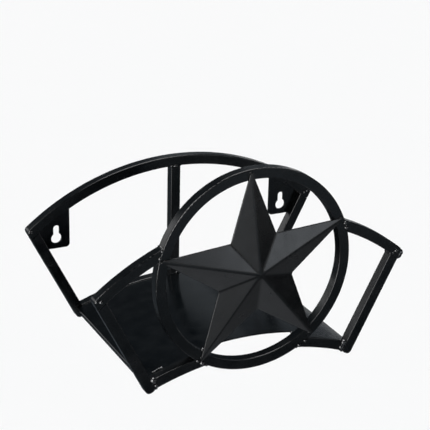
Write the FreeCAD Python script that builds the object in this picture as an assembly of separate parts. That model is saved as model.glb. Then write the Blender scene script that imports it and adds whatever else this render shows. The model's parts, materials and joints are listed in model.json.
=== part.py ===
"""Wall hanger for a garden hose.

Two fan-shaped frames of square steel bar stand one behind the other, with a curved saddle sheet between them.
The back frame carries two keyhole tabs, and the front frame a ring with a pressed star.
Millimetres. +X is to the right, the wall is the plane Y = 0, the front faces -Y, and +Z is up.
The origin is on the wall, midway between the keyholes' round entries.
"""
import FreeCAD, Part
import math
import os

Vector = FreeCAD.Vector
ALONG_Y = Vector(0, 1, 0)
ORIGIN = Vector(0, 0, 0)

# Square bar
BAR = 11.1
BAR_EDGE = 1.0
END_ROUND = 4.5  # corners of a bar's free end, as seen from the front
SEAM_ROUND = 1.5  # lower corners of the arch's ends, on the side bars

# Fan outline, shared by both frames
SCREW_SPACING = 273.0
CORNER_OVERHANG = 36.0  # sideways, from a keyhole to the frame's corner before rounding
ARCH_CROWN = 78.5  # top of the arch, above the keyholes
ARCH_RADIUS = 268.0  # outer face of the arch
SIDE_LEAN = 27.0  # degrees from upright, feet inwards
FOOT_DROP = 96.0  # lowest corner of the side bars before rounding, below the keyholes
SADDLE_DROP = 59.5  # top of the lower arc at its middle, below the keyholes
SADDLE_RADIUS = 316.0  # top face of the lower arc
REACH = 205.0  # wall to the front faces of the front frame

# Keyhole tabs, flush with the wall
TAB_THICKNESS = 2.5
TAB_SIDE_MARGIN = 15.0  # from the keyhole's centre line to the tab's free upright edge
TAB_FOOT_MARGIN = 11.5  # from the entry's centre to the tab's bottom edge
TAB_CORNER = 4.5
ENTRY_DIAMETER = 12.0  # passes the screw's head
SLOT_WIDTH = 7.0  # holds the screw's shank
SLOT_RISE = 11.5  # from the entry's centre to the centre of the slot's round end

# Ring and star
RING_RADIUS = 108.0
RING_HEIGHT = 20.0  # centre, above the keyholes
STAR_POINTS = 5
STAR_TIP_INSET = 0.3  # the tips stop this far inside the ring's outer edge
STAR_VALLEY_RADIUS = 42.6
STAR_RISE = 11.4  # apex, in front of the rim
STAR_TURN = 4.5  # degrees, the top tip leans to the left
STAR_SHEET = 1.5

# Saddle sheet
SHEET_THICKNESS = 1.5
SHEET_LAP = 5.5  # how far the sheet's ends reach across the side bars
LIP_HEIGHT = 5.5
LIP_BEND = 1.0  # inside radius
RELIEF_DEPTH = 8.0  # set-back of the front edge behind the ring
RELIEF_MARGIN = 8.0  # sheet left beyond the relief, up to the ring's outer edge
RELIEF_CORNER = 5.0

# Places that follow from the sizes above
half_spacing = SCREW_SPACING / 2
front_face = -REACH
arch_centre = ARCH_CROWN - ARCH_RADIUS
arch_end = math.asin((half_spacing + CORNER_OVERHANG) / ARCH_RADIUS)
saddle_centre = -SADDLE_DROP - SADDLE_RADIUS
lean = math.radians(SIDE_LEAN)
frame_span = 2 * (half_spacing + CORNER_OVERHANG)
frame_backs = {"back": 0.0, "front": front_face + BAR}


def polar(radius, angle, centre_z, y=0.0):
    """Point at an angle from straight up, clockwise as seen from the front."""
    return Vector(radius * math.sin(angle), y, centre_z + radius * math.cos(angle))


def mirrored(shape):
    return shape.mirror(ORIGIN, Vector(1, 0, 0))


def disc(radius, centre_z):
    """Round bar along Y through the whole depth, to cope ends against."""
    return Part.makeCylinder(radius, 4 * REACH, Vector(0, -2 * REACH, centre_z), ALONG_Y)


def through_edges(bar):
    """Edges that run from a bar's front to its back."""
    return [edge for edge in bar.Edges if edge.BoundBox.YLength > BAR / 2]


def softened(bar):
    """Bar with a small round along every edge of its front and back."""
    rims = [edge for face in bar.Faces if face.BoundBox.YLength < BAR_EDGE for edge in face.Edges]
    return bar.makeFillet(BAR_EDGE, rims)


def straight_bar(length, corner):
    """Upright square bar with rounded ends."""
    bar = Part.makeBox(BAR, BAR, length, corner)
    return softened(bar.makeFillet(END_ROUND, through_edges(bar)))


def extruded(points, y, depth):
    """Prism on a closed outline in a plane of constant Y."""
    outline = Part.makePolygon(points + points[:1])
    prism = Part.Face(outline).extrude(Vector(0, depth, 0))
    prism.translate(Vector(0, y, 0))
    return prism


def bent_bar(outer_radius, centre_z, half_turn, back):
    """Curved bar that turns evenly to both sides of the middle, its back face at Y = back."""
    inner_radius = outer_radius - BAR
    outline = Part.makePolygon([
        polar(inner_radius, -half_turn, centre_z, back - BAR),
        polar(outer_radius, -half_turn, centre_z, back - BAR),
        polar(outer_radius, -half_turn, centre_z, back),
        polar(inner_radius, -half_turn, centre_z, back),
        polar(inner_radius, -half_turn, centre_z, back - BAR),
    ])
    return Part.Face(outline).revolve(Vector(0, 0, centre_z), ALONG_Y, math.degrees(2 * half_turn))


# Right side bar: its outer face runs down from the end of the arch
frame_corner = polar(ARCH_RADIUS, arch_end, arch_centre)
down_bar = Vector(-math.sin(lean), 0, -math.cos(lean))
across_bar = Vector(-math.cos(lean), 0, math.sin(lean))
inner_top = frame_corner + across_bar * BAR


def inner_face_x(z):
    """Where the right side bar's inner face stands at a height."""
    return inner_top.x - (inner_top.z - z) * math.tan(lean)


def saddle_end_x():
    """Where the lower arc's top meets the right side bar's inner face."""
    offset = inner_top - Vector(0, 0, saddle_centre)
    along = offset.dot(down_bar)
    travel = -along - math.sqrt(along ** 2 - offset.dot(offset) + SADDLE_RADIUS ** 2)
    return (inner_top + down_bar * travel).x


def between_side_bars(spread=0.0):
    """Prism filling the space between the inner faces of the side bars, spread on both sides."""
    low = -FOOT_DROP - BAR
    high = ARCH_CROWN + BAR
    half_low = inner_face_x(low) + spread
    half_high = inner_face_x(high) + spread
    points = [
        Vector(-half_low, 0, low),
        Vector(half_low, 0, low),
        Vector(half_high, 0, high),
        Vector(-half_high, 0, high),
    ]
    return extruded(points, -2 * REACH, 4 * REACH)


def below_arch():
    return disc(ARCH_RADIUS - BAR, arch_centre)


def above_saddle(solid):
    return solid.cut(disc(SADDLE_RADIUS, saddle_centre))


def ring_disc():
    return disc(RING_RADIUS, RING_HEIGHT)


def arch(frame):
    """Curved bar on top of the side bars, its ends flush with their outer faces and rounded above."""
    past_ends = arch_end + BAR / ARCH_RADIUS
    bar = bent_bar(ARCH_RADIUS, arch_centre, past_ends, frame_backs[frame])
    bar = bar.common(between_side_bars(BAR / math.cos(lean)))
    middle_z = frame_corner.z - BAR / 2
    bar = bar.makeFillet(END_ROUND, [edge for edge in through_edges(bar) if edge.BoundBox.ZMin > middle_z])
    bar = bar.makeFillet(SEAM_ROUND, [edge for edge in through_edges(bar) if edge.BoundBox.ZMax < middle_z])
    return softened(bar)


def right_side_bar(frame):
    """Leaning bar from under the arch to its foot."""
    length = (frame_corner.z + FOOT_DROP) / math.cos(lean)
    spare = 2 * BAR
    bar = straight_bar(length + spare, ORIGIN)
    bar.rotate(ORIGIN, ALONG_Y, SIDE_LEAN)
    foot = frame_corner + down_bar * length + across_bar * BAR
    bar.translate(Vector(foot.x, frame_backs[frame] - BAR, foot.z))
    return bar.common(below_arch())


def upright():
    """Centre post of the back frame, from the lower arc to the arch."""
    bottom = -SADDLE_DROP - BAR
    post = straight_bar(ARCH_CROWN - bottom, Vector(-BAR / 2, -BAR, bottom))
    return above_saddle(post.common(below_arch()))


def lower_arc(frame):
    """Arc between the side bars' inner faces."""
    past_ends = math.asin(inner_face_x(0) / SADDLE_RADIUS)
    arc = softened(bent_bar(SADDLE_RADIUS, saddle_centre, past_ends, frame_backs[frame]))
    return arc.common(between_side_bars())


def right_part(shape):
    """The solid that lies furthest to the right."""
    return max(shape.Solids, key=lambda solid: solid.CenterOfMass.x)


def front_right_lower_arc():
    return right_part(lower_arc("front").cut(ring_disc()))


def front_right_upper_arc():
    return right_part(arch("front").cut(ring_disc()))


def front_ring():
    """Square bar bent to a closed ring."""
    centre = Vector(0, front_face, RING_HEIGHT)
    outside = Part.makeCylinder(RING_RADIUS, BAR, centre, ALONG_Y)
    ring = outside.cut(Part.makeCylinder(RING_RADIUS - BAR, BAR, centre, ALONG_Y))
    rims = [edge for edge in ring.Edges if edge.Curve.TypeId == "Part::GeomCircle"]
    return ring.makeFillet(BAR_EDGE, rims)


def right_keyhole_tab():
    """Plate in the corner between the arch and the side bar, with a keyhole through it."""
    free_edge = half_spacing - TAB_SIDE_MARGIN
    plate = Part.makeBox(frame_span, TAB_THICKNESS, ARCH_CROWN + TAB_FOOT_MARGIN,
                         Vector(free_edge, -TAB_THICKNESS, -TAB_FOOT_MARGIN))
    corner = [edge for edge in plate.Edges if edge.BoundBox.XMax < free_edge + BAR and edge.BoundBox.ZMax < 0]
    plate = plate.makeFillet(TAB_CORNER, corner)
    plate = plate.common(below_arch()).common(between_side_bars())
    entry = Part.makeCylinder(ENTRY_DIAMETER / 2, REACH, Vector(half_spacing, -REACH / 2, 0), ALONG_Y)
    slot_end = Part.makeCylinder(SLOT_WIDTH / 2, REACH, Vector(half_spacing, -REACH / 2, SLOT_RISE), ALONG_Y)
    slot = Part.makeBox(SLOT_WIDTH, REACH, SLOT_RISE, Vector(half_spacing - SLOT_WIDTH / 2, -REACH / 2, 0))
    return plate.cut(entry.fuse(slot_end).fuse(slot).removeSplitter())


def saddle_profile():
    """Section of the saddle sheet across the hanger: an arc with a lip bent down at each end."""
    top = SADDLE_RADIUS - BAR_EDGE
    bottom = top - SHEET_THICKNESS
    outer_bend = LIP_BEND + SHEET_THICKNESS
    pivot_radius = top - outer_bend
    half_width = saddle_end_x() + SHEET_LAP
    lip_reach = math.hypot(pivot_radius, outer_bend)
    bend = math.asin(half_width / lip_reach) - math.atan2(outer_bend, pivot_radius)
    outwards = Vector(math.cos(bend), 0, -math.sin(bend))
    inwards = Vector(-math.sin(bend), 0, -math.cos(bend))
    diagonal = (outwards - inwards) * math.sqrt(0.5)
    pivot = polar(pivot_radius, bend, saddle_centre)
    straight = LIP_HEIGHT - outer_bend

    def mirror(point):
        return Vector(-point.x, point.y, point.z)

    def arc(start, middle, stop):
        return Part.Arc(start, middle, stop).toShape()

    def line(start, stop):
        return Part.LineSegment(start, stop).toShape()

    top_end = polar(top, bend, saddle_centre)
    bottom_end = polar(bottom, bend, saddle_centre)
    lip_outer_top = pivot + outwards * outer_bend
    lip_inner_top = pivot + outwards * LIP_BEND
    lip_outer_foot = lip_outer_top + inwards * straight
    lip_inner_foot = lip_inner_top + inwards * straight
    outer_middle = pivot + diagonal * outer_bend
    inner_middle = pivot + diagonal * LIP_BEND
    edges = [
        arc(mirror(top_end), polar(top, 0, saddle_centre), top_end),
        arc(top_end, outer_middle, lip_outer_top),
        line(lip_outer_top, lip_outer_foot),
        line(lip_outer_foot, lip_inner_foot),
        line(lip_inner_foot, lip_inner_top),
        arc(lip_inner_top, inner_middle, bottom_end),
        arc(bottom_end, polar(bottom, 0, saddle_centre), mirror(bottom_end)),
        arc(mirror(bottom_end), mirror(inner_middle), mirror(lip_inner_top)),
        line(mirror(lip_inner_top), mirror(lip_inner_foot)),
        line(mirror(lip_inner_foot), mirror(lip_outer_foot)),
        line(mirror(lip_outer_foot), mirror(lip_outer_top)),
        arc(mirror(lip_outer_top), mirror(outer_middle), mirror(top_end)),
    ]
    return Part.Face(Part.Wire(edges))


def ring_crossing():
    """Half the width at which the lower arc's top meets the ring's outside."""
    rise = RING_HEIGHT - saddle_centre
    below = (rise ** 2 + RING_RADIUS ** 2 - SADDLE_RADIUS ** 2) / (2 * rise)
    return math.sqrt(RING_RADIUS ** 2 - below ** 2)


def saddle_sheet():
    """Curved sheet between the frames, its front edge set back where the ring passes."""
    sheet = saddle_profile().extrude(Vector(0, -(REACH - 2 * BAR), 0))
    sheet.translate(Vector(0, -BAR, 0))
    half_width = ring_crossing() - RELIEF_MARGIN
    front_edge = front_face + BAR
    relief = Part.makeBox(2 * half_width, RELIEF_DEPTH + BAR, frame_span,
                          Vector(-half_width, front_edge - BAR, -frame_span))
    inner_y = front_edge + RELIEF_DEPTH
    corners = [edge for edge in relief.Edges
               if edge.BoundBox.ZLength > BAR and abs(edge.BoundBox.YMin - inner_y) < RELIEF_CORNER]
    return sheet.cut(relief.makeFillet(RELIEF_CORNER, corners))


def star_pyramid(rim):
    """Solid star with its rim at Y = rim and its facets rising to an apex in front of it."""
    centre = Vector(0, rim, RING_HEIGHT)
    apex = Vector(0, rim - STAR_RISE, RING_HEIGHT)
    step = math.pi / STAR_POINTS
    corners = []
    for index in range(2 * STAR_POINTS):
        radius = STAR_VALLEY_RADIUS if index % 2 else RING_RADIUS - STAR_TIP_INSET
        corners.append(polar(radius, index * step - math.radians(STAR_TURN), RING_HEIGHT, rim))
    faces = []
    for corner, following in zip(corners, corners[1:] + corners[:1]):
        faces.append(Part.Face(Part.makePolygon([corner, following, apex, corner])))
        faces.append(Part.Face(Part.makePolygon([corner, centre, following, corner])))
    return Part.Solid(Part.Shell(faces)).removeSplitter()


def star():
    """Pressed star: a faceted shell, hollow behind, with solid tips where it lies on the ring."""
    rim = front_face - STAR_SHEET
    facets = star_pyramid(rim)
    base = max(facets.Faces, key=lambda face: face.BoundBox.YMin)
    edge_band = base.extrude(Vector(0, STAR_SHEET, 0))
    hollow = star_pyramid(front_face).common(disc(RING_RADIUS - BAR, RING_HEIGHT))
    return facets.fuse(edge_band).removeSplitter().cut(hollow)


def pieces():
    """Every welded piece, by name; left and right are as seen from the front."""
    made = {
        "back_arch": arch("back"),
        "back_upright": upright(),
        "back_lower_arc": lower_arc("back"),
        "saddle_sheet": saddle_sheet(),
        "front_ring": front_ring(),
        "star": star(),
    }
    right_hand = {
        "back_right_bar": right_side_bar("back"),
        "front_right_bar": right_side_bar("front"),
        "right_keyhole_tab": right_keyhole_tab(),
        "front_right_upper_arc": front_right_upper_arc(),
        "front_right_lower_arc": front_right_lower_arc(),
    }
    for name, solid in right_hand.items():
        made[name] = solid
        made[name.replace("right", "left")] = mirrored(solid)
    return made


os.makedirs("parts", exist_ok=True)
for node, shape in pieces().items():
    shape.exportStep(f"parts/{node}.step")
    print(node, len(shape.Solids), "solid", shape.isValid(), round(shape.Volume / 1000, 2), "cm3")
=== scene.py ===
"""Looks of a wall-mounted hose hanger: black painted bar, a pressed star, weld beads and a studio."""
import json
import math
import random

import bmesh
import bpy
from mathutils import Matrix, Vector


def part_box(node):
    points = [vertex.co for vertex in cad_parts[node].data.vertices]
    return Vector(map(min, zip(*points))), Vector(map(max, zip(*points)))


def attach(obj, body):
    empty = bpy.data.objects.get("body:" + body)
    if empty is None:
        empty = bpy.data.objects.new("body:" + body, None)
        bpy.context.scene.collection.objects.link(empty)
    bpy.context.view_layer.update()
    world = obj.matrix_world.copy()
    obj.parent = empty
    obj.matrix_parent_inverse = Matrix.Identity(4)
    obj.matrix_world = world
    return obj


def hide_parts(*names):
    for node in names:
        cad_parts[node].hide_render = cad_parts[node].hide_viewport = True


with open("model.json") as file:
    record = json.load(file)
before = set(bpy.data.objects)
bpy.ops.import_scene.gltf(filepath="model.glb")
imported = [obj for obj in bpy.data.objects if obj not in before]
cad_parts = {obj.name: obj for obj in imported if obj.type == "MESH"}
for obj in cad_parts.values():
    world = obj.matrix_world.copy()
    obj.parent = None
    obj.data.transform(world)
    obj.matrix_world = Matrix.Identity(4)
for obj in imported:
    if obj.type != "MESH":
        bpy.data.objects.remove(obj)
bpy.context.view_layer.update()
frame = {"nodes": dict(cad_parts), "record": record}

# Sizes of the hanger, in metres, as its solids have them
BAR = 0.0111
CORNER_HALF = 0.1725
ARCH_RADIUS = 0.268
SADDLE_RADIUS = 0.316
SIDE_LEAN = math.radians(27)
STAR_POINTS = 5
STAR_TIP_INSET = 0.0003
STAR_VALLEY_RADIUS = 0.0426
STAR_RISE = 0.0114
STAR_TURN = math.radians(4.5)
STAR_SHEET = 0.0015

# How far down a side bar the upper and the lower edge of the lower arc are looked for
ARC_TOP_SEARCH = 0.08
ARC_LOW_SEARCH = 0.09

# Soft edges of the pressed star: their widths, the facets across each round, and the tilts that
# tell a front facet and the sheet's cut side apart
RIDGE_WIDTH = 0.0018
RIDGE_FACETS = 4
RIM_WIDTH = 0.0004
RIM_FACETS = 3
FRONT_TILT = -0.5
CUT_SIDE_TILT = 0.3

# The star as it was pressed and welded by hand: the swing of each tip, from the top one clockwise,
# and the shift of its valleys
TIP_SWINGS = [math.radians(swing) for swing in (0.0, -0.65, 0.75, 2.0, 0.85)]
VALLEY_SHIFT = Vector((-0.0009, 0.0010))

# Black paint: its clouds, the span of them that sets its gloss, its orange peel and its shades
CLOUD_SCALE = 60
CLOUD_DETAIL = 4
CLOUD_SPAN = (0.3, 0.7)
PEEL_DETAIL = 2
STEEL_SHADES = ((0.0018, 0.0027, 0.0036), (0.0034, 0.0049, 0.0062))
STAR_SHADES = ((0.0035, 0.0040, 0.0046), (0.0065, 0.0072, 0.0080))

# Weld beads: their radii, then the pitch, stray, sizes and sink of their drops in shares of a radius
BEAD_RADIUS = 0.0018
TACK_RADIUS = 0.0013
STITCH_RADIUS = 0.0014
BEAD_PITCH = 0.9
STITCH_PITCH = 0.3
DROP_STRAY = 0.18
DROP_SIZES = (0.86, 1.14)
DROP_SINK = 0.25
BEAD_VOXEL = 0.00045
BEAD_SEED = 7

# Drops along each seam, as shares of its length from the outside in or from the top down, with
# their radii; -1 is the left side and 1 the right
CORNER_DROPS = {
    ("back", -1): ((0.12, 0.0018), (0.34, 0.0017)),
    ("back", 1): ((0.30, 0.0020), (0.66, 0.0014)),
    ("front", -1): ((0.12, 0.0016), (0.50, 0.0028)),
    ("front", 1): ((0.42, 0.0024), (0.74, 0.0014)),
}
FOOT_DROPS = {
    ("back", -1): ((0.25, 0.0020), (0.75, 0.0022)),
    ("back", 1): ((0.20, 0.0020), (0.70, 0.0023)),
    ("front", -1): ((0.10, 0.0034), (0.75, 0.0022)),
    ("front", 1): ((0.20, 0.0034), (0.68, 0.0032)),
}
RING_UPPER_DROPS = {
    -1: ((0.18, 0.0019), (0.66, 0.0021)),
    1: ((0.22, 0.0026), (0.64, 0.0024)),
}
RING_LOWER_DROPS = {
    -1: ((0.20, 0.0022), (0.62, 0.0027)),
    1: ((0.30, 0.0021), (0.80, 0.0023)),
}
POST_TOP_DROPS = ((0.05, 0.0022), (0.42, 0.0020), (0.62, 0.0021))
POST_FOOT_DROPS = ((0.75, 0.0017),)

# The share of a corner's seam that is left bare outside, and how far inward a foot's drops lie
CORNER_START = 0.1
FOOT_INSETS = {-1: 0.0015, 1: 0.0032}

# Weld cap on an end of the arch: its reach past the end, and how far down each of its beads lies
CAP_RADIUS = 0.0043
CAP_REACH = 0.0024
CAP_STEPS = (-0.0022, -0.0006, 0.0010)

# Tacks beside each tip of the star, as inset from the ring's outside, place sideways and radius,
# and the larger one that closes the gap beside its lower left tip
TIP_TACKS = ((0.005, 0.0017, 0.0010), (0.003, -0.0012, 0.0009))
GAP_TACK_ANGLE = math.radians(215.2)
GAP_TACK_INSET = 0.001
GAP_TACK_SINK = 0.003
GAP_TACK_RADIUS = 0.0023

# Stitches along the saddle sheet, each from x to x, and their rise and stand-off in shares of a radius
FRONT_STITCHES = ((-0.1055, -0.0955), (0.061, 0.051))
BACK_STITCHES = ((-0.09, -0.08), (0.09, 0.08))
STITCH_RISE = 0.2
STITCH_OFF = 0.4

# Camera, solved from the two equal frames and the ring
CAMERA_TARGET = Vector((0.0040, -0.1025, 0.0420))
CAMERA_AZIMUTH = math.radians(-26.14)
CAMERA_ELEVATION = math.radians(21.236)
CAMERA_ROLL = math.radians(1.31)
CAMERA_DISTANCE = 1.5270
CAMERA_LENS = 121.8
CAMERA_SENSOR = 36.0

# Studio
HANGER_MIDDLE = Vector((0, -0.1, 0.0))
FLOOR_DROP = 0.9
FLOOR_SIZE = 400.0
FLOOR_COLOUR = (0.93, 0.93, 0.93)
CLOTH_DROP = 0.45
CARD_LIFT = 0.001
TOP_LIGHT_PLACE = Vector((0.3, 0.5, 2.0))
TOP_LIGHT_POWER = 3.25
TOP_LIGHT_SPREAD = math.radians(40)
ROOM_COLOUR = (0.86, 0.97, 1.08)
WHITE = (1.0, 1.0, 1.0)
BLACK = (0.0, 0.0, 0.0)

# Places read from the solids
ring_low, ring_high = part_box("front_ring")
front_face = ring_low.y
ring_centre = (ring_low.z + ring_high.z) / 2
ring_radius = (ring_high.z - ring_low.z) / 2
arch_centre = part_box("back_arch")[1].z - ARCH_RADIUS
saddle_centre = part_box("back_lower_arc")[1].z - SADDLE_RADIUS
arch_end = math.asin(CORNER_HALF / ARCH_RADIUS)


def turned(radius, angle, centre):
    """Point (x, z) on a circle, at an angle from straight up, clockwise as seen from the front."""
    return Vector((radius * math.sin(angle), centre + radius * math.cos(angle)))


def line_meets_circle(start, along, radius, centre):
    """Point of a straight line on a circle about (0, centre), the one nearer to its start."""
    offset = start - Vector((0, centre))
    middle = offset.dot(along)
    reach = math.sqrt(middle ** 2 - offset.length_squared + radius ** 2)
    travel = min((-middle - reach, -middle + reach), key=abs)
    return start + along * travel


def circles_meet(radius_a, centre_a, radius_b, centre_b):
    """Right-hand point that two circles about (0, centre) share."""
    gap = centre_b - centre_a
    rise = (gap ** 2 + radius_a ** 2 - radius_b ** 2) / (2 * gap)
    return Vector((math.sqrt(radius_a ** 2 - rise ** 2), centre_a + rise))


# Right-hand joints of a frame, as points (x, z) seen from the front
down_bar = Vector((-math.sin(SIDE_LEAN), -math.cos(SIDE_LEAN)))
across_bar = Vector((-math.cos(SIDE_LEAN), math.sin(SIDE_LEAN)))
frame_corner = turned(ARCH_RADIUS, arch_end, arch_centre)
bar_inner_top = line_meets_circle(
    frame_corner + across_bar * BAR, down_bar, ARCH_RADIUS - BAR, arch_centre)
saddle_top_end = line_meets_circle(
    bar_inner_top + down_bar * ARC_TOP_SEARCH, down_bar, SADDLE_RADIUS, saddle_centre)
saddle_low_end = line_meets_circle(
    bar_inner_top + down_bar * ARC_LOW_SEARCH, down_bar, SADDLE_RADIUS - BAR, saddle_centre)
ring_arch_top = circles_meet(ring_radius, ring_centre, ARCH_RADIUS, arch_centre)
ring_arch_low = circles_meet(ring_radius, ring_centre, ARCH_RADIUS - BAR, arch_centre)
ring_saddle_top = circles_meet(ring_radius, ring_centre, SADDLE_RADIUS, saddle_centre)
ring_saddle_low = circles_meet(ring_radius, ring_centre, SADDLE_RADIUS - BAR, saddle_centre)


# Paint, and what it shares with the studio's colours
def mottle(tree, place, scale, detail):
    """Cloudy pattern over a piece."""
    node = tree.nodes.new("ShaderNodeTexNoise")
    node.inputs["Scale"].default_value = scale
    node.inputs["Detail"].default_value = detail
    tree.links.new(place, node.inputs["Vector"])
    return node.outputs["Fac"]


def ramp(tree, source, across, values, curve="LINEAR"):
    """Goes from one value to another while the source crosses a span, and is flat outside it."""
    node = tree.nodes.new("ShaderNodeMapRange")
    node.interpolation_type = curve
    node.inputs["From Min"].default_value, node.inputs["From Max"].default_value = across
    node.inputs["To Min"].default_value, node.inputs["To Max"].default_value = values
    tree.links.new(source, node.inputs["Value"])
    return node.outputs["Result"]


def tinted(tree, share, first, second):
    """Colour between two others."""
    node = tree.nodes.new("ShaderNodeMix")
    node.data_type = "RGBA"
    node.inputs["A"].default_value = (*first, 1)
    node.inputs["B"].default_value = (*second, 1)
    tree.links.new(share, node.inputs["Factor"])
    return node.outputs["Result"]


def dimmed(tree, shade, share):
    """A shade times a share of it."""
    node = tree.nodes.new("ShaderNodeMath")
    node.operation = "MULTIPLY"
    tree.links.new(shade, node.inputs[0])
    tree.links.new(share, node.inputs[1])
    return node.outputs["Value"]


def black_paint(name, shades, roughness, specular, peel_size, peel_depth):
    """Black paint with an uneven shade and gloss, and the fine orange peel of a sprayed coat."""
    material = bpy.data.materials.new(name)
    material.use_nodes = True
    tree = material.node_tree
    shader = tree.nodes["Principled BSDF"]
    shader.inputs["Specular IOR Level"].default_value = specular
    place = tree.nodes.new("ShaderNodeTexCoord").outputs["Object"]

    clouds = mottle(tree, place, CLOUD_SCALE, CLOUD_DETAIL)
    tree.links.new(tinted(tree, clouds, *shades), shader.inputs["Base Color"])
    tree.links.new(ramp(tree, clouds, CLOUD_SPAN, roughness), shader.inputs["Roughness"])

    peel = tree.nodes.new("ShaderNodeBump")
    peel.inputs["Distance"].default_value = peel_depth
    tree.links.new(mottle(tree, place, 1 / peel_size, PEEL_DETAIL), peel.inputs["Height"])
    tree.links.new(peel.outputs["Normal"], shader.inputs["Normal"])
    return material


bar_paint = black_paint(
    "bar_paint", STEEL_SHADES, roughness=(0.16, 0.28), specular=0.45,
    peel_size=0.0016, peel_depth=0.00005)
sheet_paint = black_paint(
    "sheet_paint", STEEL_SHADES, roughness=(0.12, 0.22), specular=0.45,
    peel_size=0.0022, peel_depth=0.00003)
star_paint = black_paint(
    "star_paint", STAR_SHADES, roughness=(0.20, 0.28), specular=0.50,
    peel_size=0.0012, peel_depth=0.00004)
bead_paint = black_paint(
    "bead_paint", STEEL_SHADES, roughness=(0.18, 0.28), specular=0.95,
    peel_size=0.0012, peel_depth=0.00003)
stitch_paint = black_paint(
    "stitch_paint", STEEL_SHADES, roughness=(0.06, 0.11), specular=1.0,
    peel_size=0.0012, peel_depth=0.00002)

slot_paints = {"bar_paint": bar_paint, "sheet_paint": sheet_paint, "star_paint": star_paint}
for entry in frame["record"]["subparts"]:
    node = frame["nodes"][entry["node"]]
    node.data.materials.clear()
    node.data.materials.append(slot_paints[entry["material_slot"]])


# Pieces
def shaped(name, builder, material):
    """Object at the origin from a bmesh, which is used up."""
    mesh = bpy.data.meshes.new(name)
    builder.to_mesh(mesh)
    builder.free()
    mesh.materials.append(material)
    shape = bpy.data.objects.new(name, mesh)
    bpy.context.scene.collection.objects.link(shape)
    return shape


def finished(name, builder, material, smooth=True):
    """A piece on the hanger from a bmesh, painted and riding with it."""
    piece = shaped(name, builder, material)
    for polygon in piece.data.polygons:
        polygon.use_smooth = smooth
    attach(piece, "root")
    return piece


# Pressed star
def tip_angle(index):
    """Direction of one of the star's tips, from straight up and clockwise."""
    return index * 2 * math.pi / STAR_POINTS - STAR_TURN + TIP_SWINGS[index]


def soften(builder, edges, width, facets):
    """Rounds edges of a bmesh."""
    bmesh.ops.bevel(builder, geom=edges, offset=width, affect="EDGES", segments=facets,
                    profile=0.5, material=-1, clamp_overlap=True)


def on_front_rim(edge):
    """Whether an edge of the star lies between a front facet and the sheet's cut side."""
    tilts = sorted(face.normal.y for face in edge.link_faces)
    return tilts[0] < FRONT_TILT and abs(tilts[-1]) < CUT_SIDE_TILT


def pressed_star():
    """Hollow star of pressed sheet, its ridges, valleys and rim softly rounded."""
    rim = front_face - STAR_SHEET
    step = math.pi / STAR_POINTS
    builder = bmesh.new()
    apex = builder.verts.new((0, rim - STAR_RISE, ring_centre))
    rim_points = []
    for index in range(2 * STAR_POINTS):
        if index % 2:
            x, z = turned(STAR_VALLEY_RADIUS, index * step - STAR_TURN, ring_centre) + VALLEY_SHIFT
        else:
            x, z = turned(ring_radius - STAR_TIP_INSET, tip_angle(index // 2), ring_centre)
        rim_points.append(builder.verts.new((x, rim, z)))
    for point, following in zip(rim_points, rim_points[1:] + rim_points[:1]):
        builder.faces.new((point, following, apex))
    folds = list(apex.link_edges)

    # The sheet's cut side, and its hollow back
    outline = [edge for edge in builder.edges if edge.is_boundary]
    band = bmesh.ops.extrude_edge_only(builder, edges=outline)["geom"]
    back_points = [part for part in band if isinstance(part, bmesh.types.BMVert)]
    bmesh.ops.translate(builder, verts=back_points, vec=(0, STAR_SHEET, 0))
    back_apex = builder.verts.new((0, front_face - STAR_RISE, ring_centre))
    for edge in [edge for edge in builder.edges if edge.is_boundary]:
        builder.faces.new((*edge.verts, back_apex))
    bmesh.ops.recalc_face_normals(builder, faces=builder.faces)

    soften(builder, folds, RIDGE_WIDTH, RIDGE_FACETS)
    builder.normal_update()
    front_rim = [edge for edge in builder.edges if on_front_rim(edge)]
    soften(builder, front_rim, RIM_WIDTH, RIM_FACETS)
    star = finished("pressed_star", builder, star_paint, smooth=False)
    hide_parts("star")


pressed_star()


# Weld beads, each as its first point, its last point and its radius
def ripples(builder, start, stop, radius, pitch, dice):
    """Overlapping drops of weld metal from one point to another, at a pitch in radii."""
    start, stop = Vector(start), Vector(stop)
    count = round((stop - start).length / (pitch * radius)) + 1
    for index in range(count):
        stray = Vector(dice.uniform(-1, 1) for axis in range(3)) * DROP_STRAY * radius
        centre = start.lerp(stop, index / max(1, count - 1)) + stray
        size = radius * dice.uniform(*DROP_SIZES)
        bmesh.ops.create_icosphere(
            builder, subdivisions=2, radius=size, matrix=Matrix.Translation(centre))


def weld_piece(name, beads, pitch, finish):
    """Weld beads melted into lumps, as one piece."""
    dice = random.Random(BEAD_SEED)
    lumps = bmesh.new()
    for start, stop, radius in beads:
        ripples(lumps, start, stop, radius, pitch, dice)
    rough = shaped(name + "_drops", lumps, finish)
    melt = rough.modifiers.new("melt", "REMESH")
    melt.mode = "VOXEL"
    melt.voxel_size = BEAD_VOXEL
    molten = rough.evaluated_get(bpy.context.evaluated_depsgraph_get())
    melted = bpy.data.meshes.new_from_object(molten)
    bpy.data.objects.remove(rough)
    builder = bmesh.new()
    builder.from_mesh(melted)
    bpy.data.meshes.remove(melted)
    bmesh.ops.smooth_vert(builder, verts=builder.verts, factor=0.5,
                          use_axis_x=True, use_axis_y=True, use_axis_z=True)
    finished(name, builder, finish)


def one_drop(x, y, z, radius):
    """Bead of a single drop."""
    return (x, y, z), (x, y, z), radius


def face_drops(point_a, point_b, front, side, places):
    """Drops on a front face, between two points of the right-hand half or their mirror images."""
    beads = []
    for share, radius in places:
        x, z = point_a.lerp(point_b, share)
        beads.append(one_drop(side * x, front + DROP_SINK * radius, z, radius))
    return beads


def corner_bead(point, front, side, radius=TACK_RADIUS):
    """Bead in a corner, across a bar's depth."""
    x, z = side * point.x, point.y
    return (x, front + radius, z), (x, front + BAR - radius, z), radius


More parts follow.
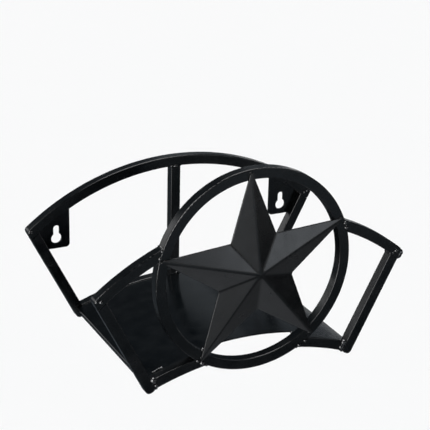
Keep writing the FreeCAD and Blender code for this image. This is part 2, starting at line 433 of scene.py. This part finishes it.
def side_bar_beads(frame_name, front, side):
    """Beads where a side bar meets the arch at the frame's corner and the lower arc at its foot."""
    place = (frame_name, side)
    corner_start = frame_corner + (bar_inner_top - frame_corner) * CORNER_START
    inward = across_bar * FOOT_INSETS[side]
    foot_top, foot_low = saddle_top_end + inward, saddle_low_end + inward
    return [
        *face_drops(corner_start, bar_inner_top, front, side, CORNER_DROPS[place]),
        corner_bead(bar_inner_top, front, side),
        *face_drops(foot_top, foot_low, front, side, FOOT_DROPS[place]),
        corner_bead(saddle_low_end, front, side, BEAD_RADIUS),
    ]


def arch_end_cap(front, side):
    """Weld metal that rounds off an end of the arch, a little past the side bar."""
    outward = Vector((math.cos(arch_end), -math.sin(arch_end)))
    down = Vector((-math.sin(arch_end), -math.cos(arch_end)))
    middle = turned(ARCH_RADIUS - BAR / 2, arch_end, arch_centre) + outward * CAP_REACH
    return [corner_bead(middle + down * step, front, side, CAP_RADIUS) for step in CAP_STEPS]


def ring_beads(side):
    """Beads where the arcs of the front frame meet the ring."""
    return [
        *face_drops(ring_arch_top, ring_arch_low, front_face, side, RING_UPPER_DROPS[side]),
        corner_bead(ring_arch_top, front_face, side),
        corner_bead(ring_arch_low, front_face, side),
        *face_drops(ring_saddle_top, ring_saddle_low, front_face, side, RING_LOWER_DROPS[side]),
        corner_bead(ring_saddle_low, front_face, side, BEAD_RADIUS),
    ]


def post_beads():
    """Beads at the top and the foot of the centre post."""
    beads = []
    top, foot = arch_centre + ARCH_RADIUS - BAR, saddle_centre + SADDLE_RADIUS
    for height, places in ((top, POST_TOP_DROPS), (foot, POST_FOOT_DROPS)):
        left, right = Vector((-BAR / 2, height)), Vector((BAR / 2, height))
        beads += face_drops(left, right, -BAR, 1, places)
        beads.append(corner_bead(right, -BAR, 1))
    return beads


def star_tacks():
    """Tacks beside the star's tips, on the ring's face, and the one in the gap at the lower left."""
    beads = []
    for index in range(STAR_POINTS):
        for inset, sideways, radius in TIP_TACKS:
            reach = ring_radius - inset
            x, z = turned(reach, tip_angle(index) + sideways / reach, ring_centre)
            beads.append(one_drop(x, front_face, z, radius))
    x, z = turned(ring_radius - BAR - GAP_TACK_INSET, GAP_TACK_ANGLE, ring_centre)
    beads.append(one_drop(x, front_face + GAP_TACK_SINK, z, GAP_TACK_RADIUS))
    return beads


def sheet_stitches():
    """Short beads that hold the saddle sheet to the lower arcs, on its top face."""
    beads = []
    level = SADDLE_RADIUS + STITCH_RISE * STITCH_RADIUS
    front = front_face + BAR + STITCH_OFF * STITCH_RADIUS
    back = -BAR - STITCH_OFF * STITCH_RADIUS
    for y, stitches in ((front, FRONT_STITCHES), (back, BACK_STITCHES)):
        for stitch in stitches:
            ends = [turned(level, math.asin(x / SADDLE_RADIUS), saddle_centre) for x in stitch]
            beads.append((*((x, y, z) for x, z in ends), STITCH_RADIUS))
    return beads


back_beads = post_beads() + side_bar_beads("back", -BAR, -1) + side_bar_beads("back", -BAR, 1)
front_beads = star_tacks()
for hand in (-1, 1):
    front_beads += side_bar_beads("front", front_face, hand) + ring_beads(hand)
front_beads += arch_end_cap(front_face, 1)
weld_piece("back_frame_welds", back_beads, BEAD_PITCH, bead_paint)
weld_piece("front_frame_welds", front_beads, BEAD_PITCH, bead_paint)
weld_piece("sheet_stitches", sheet_stitches(), STITCH_PITCH, stitch_paint)


# Studio
def dull_finish(name):
    """Material without gloss for the stage, and its shader."""
    material = bpy.data.materials.new(name)
    material.use_nodes = True
    shader = material.node_tree.nodes["Principled BSDF"]
    shader.inputs["Roughness"].default_value = 1.0
    shader.inputs["Specular IOR Level"].default_value = 0.0
    return material, shader


def stage_panel(name, low, high, drop, material):
    """Level rectangle between two corners (x, y), some way below the origin."""
    middle = ((low[0] + high[0]) / 2, (low[1] + high[1]) / 2, -drop)
    spread = Matrix.Diagonal((high[0] - low[0], high[1] - low[1], 1, 1))
    builder = bmesh.new()
    bmesh.ops.create_grid(builder, x_segments=1, y_segments=1, size=0.5,
                          matrix=Matrix.Translation(middle) @ spread)
    return shaped(name, builder, material)


def studio_floor():
    """Plain pale floor, well below a hanger at wall height."""
    pale, shader = dull_finish("pale_floor")
    shader.inputs["Base Color"].default_value = (*FLOOR_COLOUR, 1)
    half = FLOOR_SIZE / 2
    floor = stage_panel("studio_floor", (-half, -half), (half, half), FLOOR_DROP, pale)


def aimed(lamp, position):
    """Places a lamp so that it shines at the hanger."""
    lamp.location = position
    lamp.rotation_euler = (HANGER_MIDDLE - position).to_track_quat("-Z", "Y").to_euler()
    bpy.context.scene.collection.objects.link(lamp)


def softbox(name, toward, distance, width, height, glow, colour=WHITE):
    """Rectangular lamp, in a direction from the hanger, that only shows in the paint's gloss."""
    light = bpy.data.lights.new(name, "AREA")
    light.shape = "RECTANGLE"
    light.size = width
    light.size_y = height
    light.energy = glow * math.pi * width * height
    light.color = colour
    box = bpy.data.objects.new(name, light)
    box.visible_camera = False
    box.visible_diffuse = False
    aimed(box, HANGER_MIDDLE + Vector(toward).normalized() * distance)


def studio_lamps():
    """Soft top light for the floor, and softboxes for edges, star, left-hand faces and saddle."""
    sky = bpy.data.lights.new("top_light", "SUN")
    sky.energy = TOP_LIGHT_POWER
    sky.angle = TOP_LIGHT_SPREAD
    aimed(bpy.data.objects.new("top_light", sky), HANGER_MIDDLE + TOP_LIGHT_PLACE)
    softbox("left_softbox", (-0.84, -0.50, 0.20),
            distance=1.0, width=0.6, height=1.26, glow=7.0)
    softbox("front_softbox", (0.49, -0.872, 0.24),
            distance=1.7, width=0.68, height=0.6, glow=2.15, colour=(0.94, 1.0, 1.07))
    softbox("back_softbox", (-0.50, 0.866, 0.17),
            distance=2.0, width=0.62, height=0.6, glow=1.25)
    softbox("saddle_softbox", (0.376, 0.85, 0.37),
            distance=2.0, width=0.32, height=0.42, glow=0.17, colour=(0.92, 1.0, 1.06))


def laid_flat(name, low, high, drop, colour, shade):
    """Cloth or card below the hanger, out of the camera's sight, that only shows in the gloss; its
    colour is a painted reflection of light and shade under the hanger.
    """
    painted_reflection, shader = dull_finish(name + "_dye")
    tree = painted_reflection.node_tree
    axes = tree.nodes.new("ShaderNodeSeparateXYZ")
    place = tree.nodes.new("ShaderNodeTexCoord").outputs["Object"]
    tree.links.new(place, axes.inputs["Vector"])
    tree.links.new(tinted(tree, shade(tree, axes.outputs), BLACK, colour), shader.inputs["Base Color"])
    sheet = stage_panel(name, low, high, drop, painted_reflection)
    sheet.visible_camera = False
    sheet.visible_diffuse = False
    sheet.visible_shadow = False


def cloth_painted_shade(tree, place):
    """Painted shade seen in the gloss: dark cloth, lighter far in front, darkest on the right and
    behind.
    """
    far_front = ramp(tree, place["Y"], across=(-1.6, -0.9), values=(0.32, 0.07))
    right = ramp(tree, place["X"], across=(0.9, 1.4), values=(1.0, 0.12))
    behind = ramp(tree, place["X"], across=(-0.5, -0.1), values=(0.11, 0.085))
    shade = tree.nodes.new("ShaderNodeMix")
    backward = ramp(tree, place["Y"], across=(-0.35, -0.05), values=(0.0, 1.0))
    tree.links.new(backward, shade.inputs["Factor"])
    tree.links.new(dimmed(tree, far_front, right), shade.inputs["A"])
    tree.links.new(behind, shade.inputs["B"])
    return shade.outputs["Result"]


def near_card_painted_light(tree, place):
    """Painted light seen in the gloss: pale card close in front, greyer to the right."""
    return ramp(tree, place["X"], across=(0.05, 0.35), values=(0.72, 0.21))


def far_card_painted_light(tree, place):
    """Painted light seen in the gloss: pale card further to the left, brighter away from the hanger.
    """
    return ramp(tree, place["Y"], across=(-2.7, -1.4), values=(0.98, 0.58))


def studio_world():
    """Dim room, darker towards its ceiling and in front."""
    world = bpy.data.worlds.new("studio")
    bpy.context.scene.world = world
    world.use_nodes = True
    tree = world.node_tree
    room = tree.nodes["Background"]
    room.inputs["Color"].default_value = (*ROOM_COLOUR, 1)
    axes = tree.nodes.new("ShaderNodeSeparateXYZ")
    way = tree.nodes.new("ShaderNodeTexCoord").outputs["Generated"]
    tree.links.new(way, axes.inputs["Vector"])
    walls = ramp(tree, axes.outputs["Z"], across=(0.25, 0.55), values=(0.13, 0.04), curve="SMOOTHSTEP")
    front = ramp(tree, axes.outputs["Y"], across=(-0.4, 0.4), values=(0.25, 1.0))
    tree.links.new(dimmed(tree, walls, front), room.inputs["Strength"])


def photo_camera():
    """Camera at the photograph's viewing angle."""
    back = Vector((
        math.sin(CAMERA_AZIMUTH) * math.cos(CAMERA_ELEVATION),
        -math.cos(CAMERA_AZIMUTH) * math.cos(CAMERA_ELEVATION),
        math.sin(CAMERA_ELEVATION),
    ))
    level = Vector((math.cos(CAMERA_AZIMUTH), math.sin(CAMERA_AZIMUTH), 0))
    right = Matrix.Rotation(CAMERA_ROLL, 3, back) @ level
    up = back.cross(right)
    data = bpy.data.cameras.new("photo_camera")
    data.lens = CAMERA_LENS
    data.sensor_width = CAMERA_SENSOR
    camera = bpy.data.objects.new("photo_camera", data)
    turn = Matrix((right, up, back)).transposed().to_4x4()
    camera.matrix_world = Matrix.Translation(CAMERA_TARGET + back * CAMERA_DISTANCE) @ turn
    bpy.context.scene.collection.objects.link(camera)
    bpy.context.scene.camera = camera


studio_floor()
studio_lamps()
card_drop = CLOTH_DROP - CARD_LIFT
# Cloth and cards seen only in the gloss, their colours painted reflections of light and shade
laid_flat("painted_shade_cloth", (-4, -4), (4, 4), CLOTH_DROP, (0.86, 1.0, 1.12), cloth_painted_shade)
laid_flat("near_card", (-0.15, -0.66), (0.75, -0.30), card_drop, (0.93, 0.97, 1.03), near_card_painted_light)
laid_flat("far_card", (-1.1, -3.4), (-0.08, -1.2), card_drop, (0.96, 1.0, 1.04), far_card_painted_light)
studio_world()
photo_camera()
bpy.context.scene.view_settings.view_transform = "Standard"
